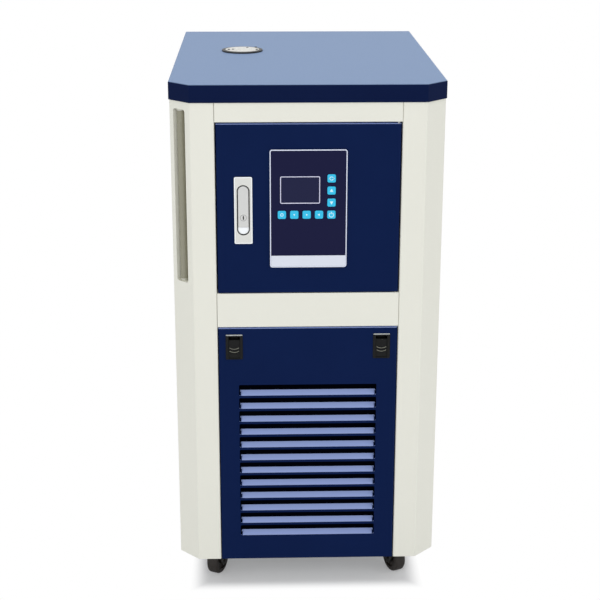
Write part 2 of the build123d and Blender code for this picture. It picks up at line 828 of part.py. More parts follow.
def expansion_tank():
    """Welded tank, standing on two brackets over the deck, with a hole for its neck."""
    x0, x1, y0, y1, z0, z1 = tank_box()
    t = tank_wall
    tank = block(x0, x1, y0, y1, z0, z1)
    tank = fillet(tank.edges().filter_by(Axis.Z), 8.0)
    hollow = block(x0 + t, x1 - t, y0 + t, y1 - t, z0 + t, z1 - t)
    tank -= fillet(hollow.edges().filter_by(Axis.Z), 8.0 - t)
    tank -= rod(neck_radius - neck_wall, 2 * tank_top_drop, (filler_x, filler_y, z1 - 2 * t), (0, 0, 1))
    for y in (y0 + 20, y1 - 20 - sheet * 2):
        tank += block(x0 + 15, x1 - 15, y, y + 2 * sheet, shelf_z + shelf_sheet, z0)
    return tank


def filler_neck():
    """Tube that is welded on the tank and ends under the filler cap."""
    z1 = tank_box()[5]
    neck = rod(neck_radius, total_height - z1, (filler_x, filler_y, z1), (0, 0, 1))
    return neck - rod(neck_radius - neck_wall, 2 * tank_top_drop, (filler_x, filler_y, z1 - 1), (0, 0, 1))


def filler_cap():
    """Pull-out steel cap: a low dome with a few vent holes over a plug."""
    dome_rise = 1.6
    radius = (cap_radius ** 2 + dome_rise ** 2) / (2 * dome_rise)
    disc = rod(cap_radius, cap_thick, (0, 0, 0), (0, 0, 1))
    disc &= Pos(0, 0, cap_thick - radius) * Sphere(radius)
    plug = rod(neck_radius - neck_wall - cap_plug_gap, cap_plug_length, (0, 0, 0), (0, 0, -1))
    hollow = rod(neck_radius - neck_wall - 4.0, cap_plug_length - 2, (0, 0, -2), (0, 0, -1))
    cap = disc + (plug - hollow)
    for reach, angle in cap_holes:
        spot = (reach * cos(radians(angle)), reach * sin(radians(angle)), cap_thick - cap_hole_depth)
        cap -= rod(cap_hole_radius, cap_thick, spot, (0, 0, 1))
    return Pos(filler_x, filler_y, total_height) * cap


def heater_vessel():
    """Insulated heat exchanger and heater, with its terminal head on top."""
    z0 = shelf_z + shelf_sheet
    vessel = rod(vessel_radius, vessel_height, (vessel_x, vessel_y, z0), (0, 0, 1))
    vessel = fillet(vessel.edges().filter_by(GeomType.CIRCLE), 8.0)
    z1 = z0 + vessel_height
    head = rod(vessel_radius * 0.72, 8, (vessel_x, vessel_y, z1), (0, 0, 1))
    head += rod(vessel_radius * 0.45, 30, (vessel_x, vessel_y, z1), (0, 0, 1))
    return vessel + head


def port(z, x):
    """Hose nozzle with a hexagon, through the rear panel."""
    start = half_depth - port_stub
    length = port_stub + port_hexagon + port_length
    nozzle = rod(port_radius, length, (x, start, z), (0, 1, 0))
    plane = Plane(origin=(x, half_depth, z), x_dir=(1, 0, 0), z_dir=(0, 1, 0))
    nozzle += extrude(plane * RegularPolygon(port_radius + 6.5, 6), port_hexagon)
    bore = rod(port_radius - 2.5, 80, (x, start - 5, z), (0, 1, 0))
    return nozzle - bore


def drain_valve():
    """Drain cock at the back, closed by a knurled cap."""
    z = drain_z
    start = half_depth - port_stub
    valve = rod(port_radius, port_stub + 24.0, (port_x, start, z), (0, 1, 0))
    plane = Plane(origin=(port_x, half_depth, z), x_dir=(1, 0, 0), z_dir=(0, 1, 0))
    valve += extrude(plane * RegularPolygon(port_radius + 5.0, 6), 8.0)
    cap = rod(port_radius + 4.0, 16.0, (port_x, half_depth + 12.0, z), (0, 1, 0))
    cap = chamfer(cap.faces().sort_by(Axis.Y)[-1].edges(), 1.5)
    return valve + cap


def cable_gland():
    """Gland for the mains lead."""
    start = half_depth - 10.0
    gland = rod(port_radius, 10.0 + 6.0, (-port_x, start, inlet_z), (0, 1, 0))
    plane = Plane(origin=(-port_x, half_depth, inlet_z), x_dir=(1, 0, 0), z_dir=(0, 1, 0))
    gland += extrude(plane * RegularPolygon(port_radius + 5.0, 6), 6.0)
    dome = rod(port_radius + 3.0, 12.0, (-port_x, half_depth + 6.0, inlet_z), (0, 1, 0))
    dome = fillet(dome.faces().sort_by(Axis.Y)[-1].edges(), 3.0)
    bore = rod(port_radius - 3.0, 60, (-port_x, start - 5, inlet_z), (0, 1, 0))
    return gland + dome - bore


def tube_run(points, radius, bend):
    """A round pipe along straight runs joined by bends."""
    path = FilletPolyline(*points, radius=bend)
    section = Plane(origin=points[0], z_dir=path % 0) * Circle(radius)
    return sweep(section, path=path)


def liquid_pipes():
    """Pipe from the vessel to the outlet, and one from the inlet down to the deck."""
    y_in = half_depth - port_stub
    start = (vessel_x, vessel_y + vessel_radius, outlet_z)
    supply = rod(tube_radius, y_in - start[1], start, (0, 1, 0))
    points = [
        (port_x, y_in, inlet_z),
        (port_x, vessel_y + vessel_radius + 22, inlet_z),
        (port_x, vessel_y + vessel_radius + 22, shelf_z + shelf_sheet),
    ]
    return Compound([supply, tube_run(points, tube_radius, return_bend)])


def control_gear():
    """Upright plate with the contactor, relay and terminal blocks behind the door."""
    z0 = shelf_z + shelf_sheet
    half = gear_plate_width / 2
    y0 = gear_plate_y
    gear = block(-half, half, y0, y0 + gear_plate_sheet, z0, z0 + gear_plate_height)
    gear += block(-half, half, y0, y0 + 25, z0, z0 + gear_plate_sheet)
    for z in (z0 + 60, z0 + 150, z0 + 240):
        gear += block(-half + 15, half - 15, y0 - 8, y0, z - 17, z + 17)
    for i in range(3):
        x = -95 + i * 62
        gear += block(x, x + 48, y0 - 72, y0 - 8, z0 + 205, z0 + 275)
    for i in range(5):
        x = -98 + i * 38
        gear += block(x, x + 30, y0 - 48, y0 - 8, z0 + 32, z0 + 88)
    return gear


def fan_centre():
    z = base_height + base_sheet + condenser_height / 2 + 4
    return z


def condenser():
    """Finned condenser block behind the louvres, with its header bends."""
    z0 = base_height + base_sheet
    z1 = z0 + condenser_height
    half = condenser_width / 2
    y0 = condenser_y
    y1 = y0 + condenser_depth
    core = block(-half + 6, half - 6, y0 + 5, y1 - 5, z0, z1)
    for x in (-half, half - 3):
        core += block(x, x + 3, y0, y1, z0, z1)
        core += block(min(x, x + 3) - (0 if x < 0 else 4), x + (7 if x < 0 else 3), y0 + 5, y1 - 5, z0, z1)
    step = (condenser_width - 12) / fin_count
    for i in range(fin_count):
        x = -half + 6 + (i + 0.5) * step
        core += block(x - 0.6, x + 0.6, y0 + 1, y0 + 5, z0, z1)
    return core


def fan_shroud():
    """Sheet ring that guides the air from the condenser through the fan."""
    z0 = base_height + base_sheet
    z1 = z0 + condenser_height
    half = condenser_width / 2
    y0 = condenser_y + condenser_depth
    box = block(-half, half, y0, y0 + shroud_depth, z0, z1)
    hollow = block(-half + 2, half - 2, y0 - 1, y0 + shroud_depth - 2, z0 + 2, z1 - 2)
    ring = rod(fan_radius + fan_gap, 10, (0, y0 + shroud_depth - 5, fan_centre()), (0, 1, 0))
    return box - hollow - ring


def fan_motor():
    """Fan motor on a cross bar behind the shroud."""
    y0 = condenser_y + condenser_depth + shroud_depth
    z = fan_centre()
    motor = rod(hub_radius, 45, (0, y0 + 4, z), (0, 1, 0))
    for angle in (45, 135):
        bar = Pos(0, y0 + 22, z) * Rot(0, angle, 0) * Box(2 * fan_radius + 40, 3, 16)
        motor += bar
    for sx in (-1, 1):
        for sz in (-1, 1):
            reach = (fan_radius + 12) / sqrt(2)
            motor += rod(4, 20.5, (sx * reach, y0, z + sz * reach), (0, 1, 0))
    return motor - rod(4.0 + bore_gap, 30, (0, y0 - 5, z), (0, 1, 0))


def fan_rotor():
    """Axial fan: a hub, a stub shaft and pitched blades."""
    y1 = condenser_y + condenser_depth + shroud_depth + 3.4
    z = fan_centre()
    plane = Plane(origin=(0, y1, z), x_dir=(1, 0, 0), z_dir=(0, -1, 0))
    hub = Cylinder(hub_radius, fan_depth, align=(Align.CENTER, Align.CENTER, Align.MIN))
    hub = fillet(hub.faces().sort_by(Axis.Z)[-1].edges(), 4.0)
    reach = fan_radius - hub_radius + 3
    blade = Pos(hub_radius - 3 + reach / 2, 0, fan_depth / 2) * Rot(30, 0, 0) * Box(reach, 40, 2.5)
    limit = Cylinder(fan_radius - 1, fan_depth, align=(Align.CENTER, Align.CENTER, Align.MIN))
    blade &= limit
    rotor = hub
    for i in range(blade_count):
        rotor += Rot(0, 0, 360 / blade_count * i) * blade
    rotor += rod(4.0, 18, (0, 0, 0), (0, 0, -1))
    return plane * rotor


def compressor():
    """Hermetic compressor shell on a foot plate with rubber feet."""
    z0 = base_height + base_sheet + 14
    shell = rod(compressor_radius, compressor_height, (compressor_x, compressor_y, z0), (0, 0, 1))
    shell = fillet(shell.edges().filter_by(GeomType.CIRCLE), 30.0)
    plate = compressor_radius + 8
    foot = block(
        compressor_x - plate, compressor_x + plate, compressor_y - plate, compressor_y + plate,
        z0, z0 + 4,
    )
    for sx in (-1, 1):
        for sy in (-1, 1):
            place = (compressor_x + sx * (plate - 14), compressor_y + sy * (plate - 14), z0)
            foot += rod(9, 14, place, (0, 0, -1))
    box = block(
        compressor_x + compressor_radius - 6, compressor_x + compressor_radius + 22,
        compressor_y - 32, compressor_y + 32, z0 + 70, z0 + 140,
    )
    return shell + foot + box


def refrigerant_line():
    """Copper discharge line from the compressor to the condenser's header."""
    z0 = base_height + base_sheet
    start = (compressor_x, compressor_y - compressor_radius, z0 + 130)
    side = -condenser_width / 2 - 16
    end_y = condenser_y + condenser_depth / 2
    points = [
        start,
        (compressor_x, compressor_y - compressor_radius - 30, z0 + 130),
        (side, compressor_y - compressor_radius - 30, z0 + 130),
        (side, end_y, z0 + 130),
        (-condenser_width / 2, end_y, z0 + 130),
    ]
    return tube_run(points, 4.0, 14.0)


def pump_unit():
    """Circulation pump: a motor lying on a foot, with its pump head in front."""
    z0 = base_height + base_sheet
    z = z0 + 20 + pump_radius
    pump = rod(pump_radius, pump_length, (pump_x, pump_y - pump_length / 2, z), (0, 1, 0))
    pump = fillet(pump.edges().filter_by(GeomType.CIRCLE), 6.0)
    head = rod(pump_radius * 0.86, 30, (pump_x, pump_y - pump_length / 2, z), (0, -1, 0))
    foot = block(pump_x - 32, pump_x + 32, pump_y - 50, pump_y + 50, z0, z - pump_radius * 0.7)
    neck = rod(tube_radius + 2, shelf_z - z, (pump_x, pump_y - pump_length / 2 - 15, z), (0, 0, 1))
    return pump + head + foot + neck


def caster_mount(x, y):
    """Fixed top of one caster: a plate, the ball race and its rivet."""
    plate = block(
        x - caster_plate / 2, x + caster_plate / 2, y - caster_plate / 2, y + caster_plate / 2,
        base_height - caster_plate_sheet, base_height,
    )
    top = base_height - caster_plate_sheet
    plate += rod(14, 2.5, (x, y, top), (0, 0, -1))
    return plate + rod(4.0, race_height, (x, y, top), (0, 0, -1))


def caster_places():
    y_front = front + caster_front
    y_back = half_depth - caster_back
    return [
        ("front_left", -caster_x, y_front, front_toe),
        ("front_right", caster_x, y_front, -front_toe),
        ("rear_left", -caster_x, y_back, 0.0),
        ("rear_right", caster_x, y_back, 0.0),
    ]


def caster_mounts():
    return Compound([caster_mount(x, y) for _, x, y, _ in caster_places()])


def caster_fork():
    """Swivel fork drawn at its own origin: race cup, two cheeks and the axle."""
    top = base_height - caster_plate_sheet - 2.5 - race_gap
    half = wheel_width / 2 + fork_gap
    cup = rod(17, race_height - 1, (0, 0, top), (0, 0, -1))
    cup -= rod(4.0 + bore_gap, 40, (0, 0, top + 1), (0, 0, -1))
    low = top - race_height + 1
    profile = Polygon(
        (-15, low + 3), (15, low + 3), (caster_trail + 9, wheel_radius + 4),
        (caster_trail + 7, wheel_radius - 8), (caster_trail - 7, wheel_radius - 8),
        (-15, low - 6), align=None,
    )
    fork = cup
    for side in (-1, 1):
        middle = Plane.XZ.offset(side * (half + fork_wall / 2))
        fork += extrude(middle * profile, fork_wall / 2, both=True)
    fork += block(-15, 15, -half - fork_wall, half + fork_wall, low, low + 3)
    fork -= rod(4.0 + bore_gap, 40, (0, 0, top + 1), (0, 0, -1))
    reach = half + fork_wall + 1.5
    fork += rod(wheel_bore, 2 * reach, (caster_trail, -reach, wheel_radius), (0, 1, 0))
    return fork


def caster_wheel():
    """Rubber-tyred wheel with a dished hub and a rounded tread."""
    wheel = rod(wheel_radius, wheel_width, (caster_trail, -wheel_width / 2, wheel_radius), (0, 1, 0))
    wheel = fillet(wheel.edges().filter_by(GeomType.CIRCLE), 4.5)
    for y, turn in ((-wheel_width / 2, 1), (wheel_width / 2, -1)):
        dish = rod(wheel_radius * 0.68, 3.0, (caster_trail, y, wheel_radius), (0, turn, 0))
        boss = rod(wheel_bore + 4.0, 3.0, (caster_trail, y, wheel_radius), (0, turn, 0))
        wheel -= dish - boss
    length = 2 * wheel_width
    return wheel - rod(wheel_bore + bore_gap, length, (caster_trail, -wheel_width, wheel_radius), (0, 1, 0))


def at_caster(shape, x, y, toe):
    """Puts a caster piece under its mount, trailing to the back and toed in."""
    return Pos(x, y, 0) * Rot(0, 0, 90 + toe) * shape


def build():
    parts = {
        "base_plate": base_plate(),
        "side_panel_left": side_panel_left(),
        "side_panel_right": side_panel_right(),
        "rear_panel": rear_panel(),
        "top_cover": top_cover(),
        "top_rail": top_rail(),
        "mid_rail": mid_rail(),
        "mid_shelf": mid_shelf(),
        "hinge_pins": hinge_pins(),
        "sight_channel": sight_channel(),
        "sight_tube": sight_tube(),
        "sight_fittings": sight_fittings(),
        "expansion_tank": expansion_tank(),
        "filler_neck": filler_neck(),
        "filler_cap": filler_cap(),
        "heater_vessel": heater_vessel(),
        "liquid_pipes": liquid_pipes(),
        "outlet_nozzle": port(outlet_z, port_x),
        "inlet_nozzle": port(inlet_z, port_x),
        "drain_valve": drain_valve(),
        "cable_gland": cable_gland(),
        "control_gear": control_gear(),
        "condenser": condenser(),
        "fan_shroud": fan_shroud(),
        "fan_motor": fan_motor(),
        "fan_rotor": fan_rotor(),
        "compressor": compressor(),
        "refrigerant_line": refrigerant_line(),
        "pump_unit": pump_unit(),
        "caster_mounts": caster_mounts(),
        "door_panel": door_panel(),
        "lock_housing": lock_housing(),
        "lock_lever": lock_lever(),
        "lock_button": lock_button(),
        "lock_plug": lock_plug(),
        "lock_cam": lock_cam(),
        "controller_bezel": controller_bezel(),
        "controller_case": controller_case(),
        "screen_lens": screen_lens(),
        "name_strip": name_strip(),
        "lower_panel": lower_panel(),
        "latch_housings": latch_housings(),
        "latch_slider_left": latch_slider(-latch_x),
        "latch_slider_right": latch_slider(latch_x),
    }
    for name, place in zip(key_names, key_places):
        parts[name] = key(*place)
    fork = caster_fork()
    wheel = caster_wheel()
    for name, x, y, toe in caster_places():
        parts["fork_" + name] = at_caster(fork, x, y, toe)
        parts["wheel_" + name] = at_caster(wheel, x, y, toe)
    return parts


os.makedirs("parts", exist_ok=True)
for name, shape in build().items():
    export_step(Pos(0, -origin_y, 0) * shape, "parts/" + name + ".step")
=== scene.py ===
# %% [markdown]
# # A temperature control unit for a jacketed glass reactor
# The real unit is a sheet-metal cabinet on four casters. It warms and cools the liquid
# in a reactor's jacket. This lesson takes its solid model as a fixed frame, gives each
# part the finish of its real material, and models the small things that a maker adds
# last: printed key marks, a filter mat, screws and hose barbs. Some colours are painted
# light: pale tops and highlights, white reflections and black pieces of painted shade.

# %% Load the frame
import bpy
from math import cos, sin, radians
from mathutils import Matrix, Vector


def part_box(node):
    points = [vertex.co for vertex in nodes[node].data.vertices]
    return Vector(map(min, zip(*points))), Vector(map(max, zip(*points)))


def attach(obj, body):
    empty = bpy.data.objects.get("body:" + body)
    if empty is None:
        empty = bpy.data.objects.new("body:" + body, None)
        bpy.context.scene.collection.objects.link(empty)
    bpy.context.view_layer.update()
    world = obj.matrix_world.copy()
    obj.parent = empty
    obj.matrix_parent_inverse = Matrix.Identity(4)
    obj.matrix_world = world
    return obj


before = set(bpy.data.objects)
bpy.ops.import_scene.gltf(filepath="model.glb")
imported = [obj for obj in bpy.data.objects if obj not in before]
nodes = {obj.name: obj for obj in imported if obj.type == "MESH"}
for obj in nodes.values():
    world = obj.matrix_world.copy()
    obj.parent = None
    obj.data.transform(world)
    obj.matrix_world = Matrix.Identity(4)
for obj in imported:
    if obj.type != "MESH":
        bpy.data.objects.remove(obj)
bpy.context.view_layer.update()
MM = 0.001

# %% [markdown]
# ## Camera
# The photograph was taken from about two and a half metres, a little above the top, with
# a long lens. The place and the turn come from fitting the edges of the cabinet. A small
# vertical shift puts the horizon where the picture has it, because the photograph was
# cropped from a larger one.

# %% Camera
CAMERA_PLACE = Vector((-75.5, -2396.3, 1219.1)) * MM
CAMERA_YAW = radians(1.72)
CAMERA_PITCH = radians(-17.17)
CAMERA_ROLL = radians(0.086)
LENS_MM = 83.18
SENSOR_MM = 36.0
SHIFT_UP = -0.06    # in widths of the picture

bpy.ops.object.camera_add(location=CAMERA_PLACE)
camera = bpy.context.object
camera.name = "photo_camera"
camera.rotation_mode = "XYZ"
yaw = Matrix.Rotation(-CAMERA_YAW, 4, "Z")
pitch = Matrix.Rotation(radians(90) + CAMERA_PITCH, 4, "X")
roll = Matrix.Rotation(CAMERA_ROLL, 4, "Z")
camera.matrix_world = Matrix.Translation(CAMERA_PLACE) @ yaw @ pitch @ roll
camera.data.lens = LENS_MM
camera.data.sensor_width = SENSOR_MM
camera.data.shift_y = SHIFT_UP
camera.data.dof.use_dof = False
bpy.context.scene.camera = camera
bpy.context.scene.view_settings.view_transform = "Standard"
print("camera at", [round(v, 3) for v in camera.location], "lens", camera.data.lens)

# %% [markdown]
# ## Two small helpers for materials
# Colours are written as the sRGB hex values a paint chart would give, and one function
# turns them into the linear numbers that shaders work with. A second function adds a
# node, sets its values and joins its inputs, so each material reads as a short list.
# All the bumps share one height of a fifth of a millimetre, and each finish says how
# strongly it uses it.


# %% Helpers for colour and nodes
BUMP_HEIGHT = 0.0002    # metres


def linear(hex_colour):
    """An sRGB hex value as a linear colour."""
    parts = [int(hex_colour[i:i + 2], 16) / 255 for i in (1, 3, 5)]
    curve = [c / 12.92 if c <= 0.04045 else ((c + 0.055) / 1.055) ** 2.4 for c in parts]
    return curve + [1.0]


def add_node(tree, kind, values=None, links=None):
    """Adds a node. values sets sockets or properties, links joins sockets to outputs."""
    node = tree.nodes.new(kind)
    for name, value in (values or {}).items():
        if isinstance(name, int) or name in node.inputs:
            node.inputs[name].default_value = value
        else:
            setattr(node, name, value)
    for name, source in (links or {}).items():
        tree.links.new(source, node.inputs[name])
    return node


def new_material(name):
    """An empty material with its shader joined to the output."""
    material = bpy.data.materials.new(name)
    material.use_nodes = True
    tree = material.node_tree
    tree.nodes.clear()
    shader = add_node(tree, "ShaderNodeBsdfPrincipled")
    add_node(tree, "ShaderNodeOutputMaterial", links={"Surface": shader.outputs[0]})
    place = add_node(tree, "ShaderNodeTexCoord").outputs["Object"]
    return material, tree, shader, place


def set_shader(shader, **values):
    """Plain numbers on the shader's own sockets."""
    for name, value in values.items():
        shader.inputs[name.replace("_", " ")].default_value = value


# %% [markdown]
# ## Powder-coated sheet
# The cabinet is mild steel sheet with a baked powder coat. The powder flows out before
# it sets, which leaves a fine skin of low waves a millimetre or two across, and the
# colour drifts very slightly from place to place. Low waves are a bump from noise, and
# the drift is a second noise that mixes two near colours. Seen from above at a low
# angle, the dark blue looks much paler, because its skin mirrors the white room. A
# second, paler colour stands in for that on the faces that point up: the top of the
# cover and the lips of the louvres. It follows the object's own normals, so it stays
# on those faces when a panel moves.


# %% Powder coats
def powder_coat(name, colour, drift_colour, wave_mm, wave_depth, top_colour=None, speck=0.0,
                **shader_values):
    """Baked powder paint. top_colour is the paler look of faces that point up."""
    material, tree, shader, place = new_material(name)
    drift = add_node(
        tree, "ShaderNodeTexNoise", {"Scale": 9.0, "Detail": 3.0, "Roughness": 0.6},
        {"Vector": place},
    )
    mix = add_node(
        tree, "ShaderNodeMix",
        {"data_type": "RGBA", 6: linear(colour), 7: linear(drift_colour)},
        {"Factor": drift.outputs["Fac"]},
    )
    base = mix.outputs[2]
    if top_colour:
        facing = add_node(tree, "ShaderNodeSeparateXYZ", None, {0: place.node.outputs["Normal"]})
        upward = add_node(
            tree, "ShaderNodeMapRange", {"From Min": 0.35, "From Max": 0.8},
            {"Value": facing.outputs["Z"]},
        )
        base = add_node(
            tree, "ShaderNodeMix", {"data_type": "RGBA", 7: linear(top_colour)},
            {"Factor": upward.outputs["Result"], 6: base},
        ).outputs[2]
    if speck:
        grains = add_node(
            tree, "ShaderNodeTexNoise", {"Scale": 620.0, "Detail": 2.0, "Roughness": 0.75},
            {"Vector": place},
        )
        lift = add_node(
            tree, "ShaderNodeMapRange",
            {"From Min": 0.35, "From Max": 0.72, "To Min": 1.0 - speck, "To Max": 1.0 + speck},
            {"Value": grains.outputs["Fac"]},
        )
        base = add_node(
            tree, "ShaderNodeVectorMath", {"operation": "MULTIPLY"},
            {0: base, 1: lift.outputs["Result"]},
        ).outputs[0]
    tree.links.new(base, shader.inputs["Base Color"])
    waves = add_node(
        tree, "ShaderNodeTexNoise", {"Scale": 1.0 / (wave_mm * MM), "Detail": 2.0},
        {"Vector": place},
    )
    bump = add_node(
        tree, "ShaderNodeBump", {"Strength": wave_depth, "Distance": BUMP_HEIGHT},
        {"Height": waves.outputs["Fac"]},
    )
    tree.links.new(bump.outputs[0], shader.inputs["Normal"])
    set_shader(shader, **shader_values)
    return material


# The ivory coat is semi-gloss: it softly mirrors the room and hides its own waves.
ivory_paint = powder_coat(
    "ivory powder-coated steel", "#e8e7db", "#e5e4d8", 1.6, 0.25, Roughness=0.42, IOR=1.45
)
# The navy coat is nearly matt from the front. A low IOR keeps it from greying there.
navy_paint = powder_coat(
    "navy powder-coated steel", "#091a41", "#0c1e48", 1.6, 0.3, "#adc0f6",
    Roughness=0.6, IOR=1.12,
)
# The cover's top also has a dust of fine specks, which only a low view shows.
cover_paint = powder_coat(
    "navy powder-coated cover", "#08163a", "#0b193e", 1.4, 0.5, "#7b90b0", 0.06,
    Roughness=0.45, IOR=1.12,
)
print("powder coats:", ivory_paint.name, "/", navy_paint.name, "/", cover_paint.name)

# %% [markdown]
# ## Bare metals
# Galvanised sheet shows soft zinc flowers, brushed stainless shows long scratches in one
# direction, and a zinc die casting with satin plating is nearly even. They differ in
# the pattern that drives roughness and bump, so one function takes the pattern's size
# in each direction.


# %% Metals
def metal(name, colour, roughness, grain_mm, stretch=(1, 1, 1), contrast=0.1, depth=0.1,
          shine=1.0):
    """A metal whose roughness and height follow a noise stretched along its grain."""
    material, tree, shader, place = new_material(name)
    scale = [1.0 / (grain_mm * MM * s) for s in stretch]
    mapped = add_node(tree, "ShaderNodeMapping", {"Scale": scale}, {"Vector": place})
    grain = add_node(
        tree, "ShaderNodeTexNoise", {"Scale": 1.0, "Detail": 4.0, "Roughness": 0.6},
        {"Vector": mapped.outputs[0]},
    )
    rough = add_node(
        tree, "ShaderNodeMapRange",
        {"To Min": max(roughness - contrast, 0.05), "To Max": roughness + contrast},
        {"Value": grain.outputs["Fac"]},
    )
    darker = [c * (1 - contrast) for c in linear(colour)[:3]] + [1.0]
    mix = add_node(
        tree, "ShaderNodeMix", {"data_type": "RGBA", 6: darker, 7: linear(colour)},
        {"Factor": grain.outputs["Fac"]},
    )
    bump = add_node(
        tree, "ShaderNodeBump", {"Strength": depth, "Distance": BUMP_HEIGHT},
        {"Height": grain.outputs["Fac"]},
    )
    tree.links.new(mix.outputs[2], shader.inputs["Base Color"])
    tree.links.new(rough.outputs["Result"], shader.inputs["Roughness"])
    tree.links.new(bump.outputs[0], shader.inputs["Normal"])
    set_shader(shader, Metallic=shine)
    return material


# Hot-dip zinc: broad pale and dark flowers, about nine millimetres across.
galvanised = metal("galvanised steel sheet", "#aeb2b6", 0.42, 9.0, contrast=0.16, depth=0.05)
# Scratches sixty times longer than wide, from belt grinding along the sheet.
stainless = metal("brushed stainless steel", "#c4c3bd", 0.3, 0.5, (60, 1, 1), 0.12, 0.2)
# Satin plating over a casting: even, soft and a little warm.
zinc_lock = metal(
    "satin-plated zinc casting", "#dcdcd9", 0.34, 0.8, contrast=0.06, depth=0.05, shine=0.85
)
# The strip under the keys is anodised, which looks more like pale paint than metal.
aluminium = metal(
    "satin anodised aluminium", "#dde1ec", 0.45, 0.4, (80, 1, 1), 0.05, 0.1, shine=0.35
)
# Thin fins stand upright and close together, so the grain runs up.
fin_aluminium = metal("aluminium fins", "#b9bcc2", 0.35, 1.4, (1, 1, 60), 0.15, 0.4)
# Turned fittings have only the faint marks of the lathe.
brass = metal("turned brass", "#c9a95a", 0.3, 0.6, contrast=0.08, depth=0.1)
nickel = metal(
    "nickel-plated brass", "#cfcec2", 0.4, 0.6, contrast=0.05, depth=0.1, shine=0.7
)
# Enamel on the casters' forks hides most of the metal's shine.
black_steel = metal(
    "black enamelled steel", "#17140f", 0.35, 1.5, contrast=0.08, depth=0.1, shine=0.2
)
copper = metal("drawn copper tube", "#c07a52", 0.32, 2.0, contrast=0.1, depth=0.05)
print("metals ready: 9")

# %% [markdown]
# ## Plastics, rubber, foam and glass
# Latches, gland and case are moulded nylon or ABS: nearly black, with a fine spark
# texture from the mould. The wheels' tread is a brown-black rubber. The controller's
# face is a printed polyester film over its moulding, and its keys are domes under the
# same kind of film in bright cyan.


# %% Plastics, rubber, foam and glass
def moulded(name, colour, roughness, grain_mm, depth, vary=0.1, **shader_values):
    """A moulded or printed surface with a fine even texture."""
    material, tree, shader, place = new_material(name)
    grain = add_node(
        tree, "ShaderNodeTexNoise", {"Scale": 1.0 / (grain_mm * MM), "Detail": 3.0},
        {"Vector": place},
    )
    low = [c * (1 - vary) for c in linear(colour)[:3]] + [1.0]
    high = [min(c * (1 + vary), 1.0) for c in linear(colour)[:3]] + [1.0]
    mix = add_node(
        tree, "ShaderNodeMix", {"data_type": "RGBA", 6: low, 7: high},
        {"Factor": grain.outputs["Fac"]},
    )
    bump = add_node(
        tree, "ShaderNodeBump", {"Strength": depth, "Distance": BUMP_HEIGHT},
        {"Height": grain.outputs["Fac"]},
    )
    tree.links.new(mix.outputs[2], shader.inputs["Base Color"])
    tree.links.new(bump.outputs[0], shader.inputs["Normal"])
    set_shader(shader, Roughness=roughness, **shader_values)
    return material


# Nylon from a spark-textured mould: matt black, with a grain of half a millimetre.
black_nylon = moulded("black moulded nylon", "#0a0b0b", 0.6, 0.5, 0.3, IOR=1.3)
# The grey of the latch ridges and the pale of the latch lips are painted highlights.
ridge_painted_highlight = moulded("nylon ridge, painted highlight", "#7f7f72", 0.5, 0.8, 0.1, 0.1)
lip_painted_highlight = moulded("nylon lip, painted highlight", "#c6c9c6", 0.45, 0.8, 0.1, 0.1)
# The compressor's shell is dipped in gloss enamel, which sags in slow waves.
enamel = moulded("black enamelled shell", "#0b0b0c", 0.22, 2.5, 0.15)
# Polyester film printed on its back: flat colour under a faint fine texture.
face_film = moulded("printed polyester film", "#1c1d3c", 0.5, 0.8, 0.1, 0.04, IOR=1.12)
rim_film = moulded("pale printed line", "#d5d4ea", 0.4, 0.8, 0.1, 0.04)
key_film = moulded("cyan key film", "#22bfe8", 0.3, 0.8, 0.05, 0.03)
window_film = moulded("display window", "#252743", 0.3, 5.0, 0.0, 0.02, IOR=1.12)
white_ink = moulded("white printing ink", "#d3f6fb", 0.5, 0.8, 0.0, 0.02)
# The polished parts of the lock mirror the white room; their near-white colour is a painted
# reflection of it.
painted_reflection_white = moulded("polished zinc, painted reflection", "#f7fafb", 0.3, 0.8, 0.0, 0.02)
dull_zinc = moulded("dull zinc ring", "#9d9d9b", 0.5, 0.8, 0.1, 0.05)
# Rubber and foam: rough, dark and bumpy, and nothing in them mirrors.
tyre_rubber = moulded("brown-black wheel rubber", "#211a15", 0.6, 0.7, 0.5)
# This black is painted shade, not rubber: in the gap round the lock's lever, in the keyway and
# in the cap's holes.
painted_shade_black = moulded("black painted shade", "#060607", 0.8, 1.2, 0.3)
foam = moulded("closed-cell foam lagging", "#17181a", 0.85, 1.8, 1.0, 0.25)
# The filter foam's near-black is painted shade for the dark inside behind the louvres.
filter_foam_shade = moulded("black filter foam, painted shade", "#02030a", 0.95, 1.5, 1.0, 0.3, IOR=1.05)
# The level tube is olive grey and lets little light through.
glass_tube = moulded(
    "olive grey level tube", "#9d9a86", 0.25, 5.0, 0.0, 0.04, Transmission_Weight=0.15
)
print("plastics, rubber and glass ready: 16")

# %% [markdown]
# ## A pale edge and painted shade that change with depth
# The controller's film is pale round its edge, where the moulding stands half a
# millimetre proud. The lock's pocket is dark because little light gets in: painted
# shade. The side wall of the filler cap is painted dark as the reflection of a dark room,
# and the bottoms of its holes as painted shade. A coordinate picks out each of these
# places: a comparison on one axis of the Object coordinates mixes a second colour in.


# %% Colours picked out by depth
def second_colour(material, axis, limit, colour, above=True):
    """Mixes colour into a material where Object axis is above (or below) limit in metres."""
    tree = material.node_tree
    shader = next(n for n in tree.nodes if n.type == "BSDF_PRINCIPLED")
    place = next(n for n in tree.nodes if n.type == "TEX_COORD").outputs["Object"]
    first = shader.inputs["Base Color"].links[0].from_socket
    split = add_node(tree, "ShaderNodeSeparateXYZ", None, {0: place})
    comparison = "GREATER_THAN" if above else "LESS_THAN"
    test = add_node(
        tree, "ShaderNodeMath", {"operation": comparison, 1: limit}, {0: split.outputs[axis]}
    )
    mix = add_node(
        tree, "ShaderNodeMix", {"data_type": "RGBA", 7: linear(colour)},
        {"Factor": test.outputs[0], 6: first},
    )
    tree.links.new(mix.outputs[2], shader.inputs["Base Color"])


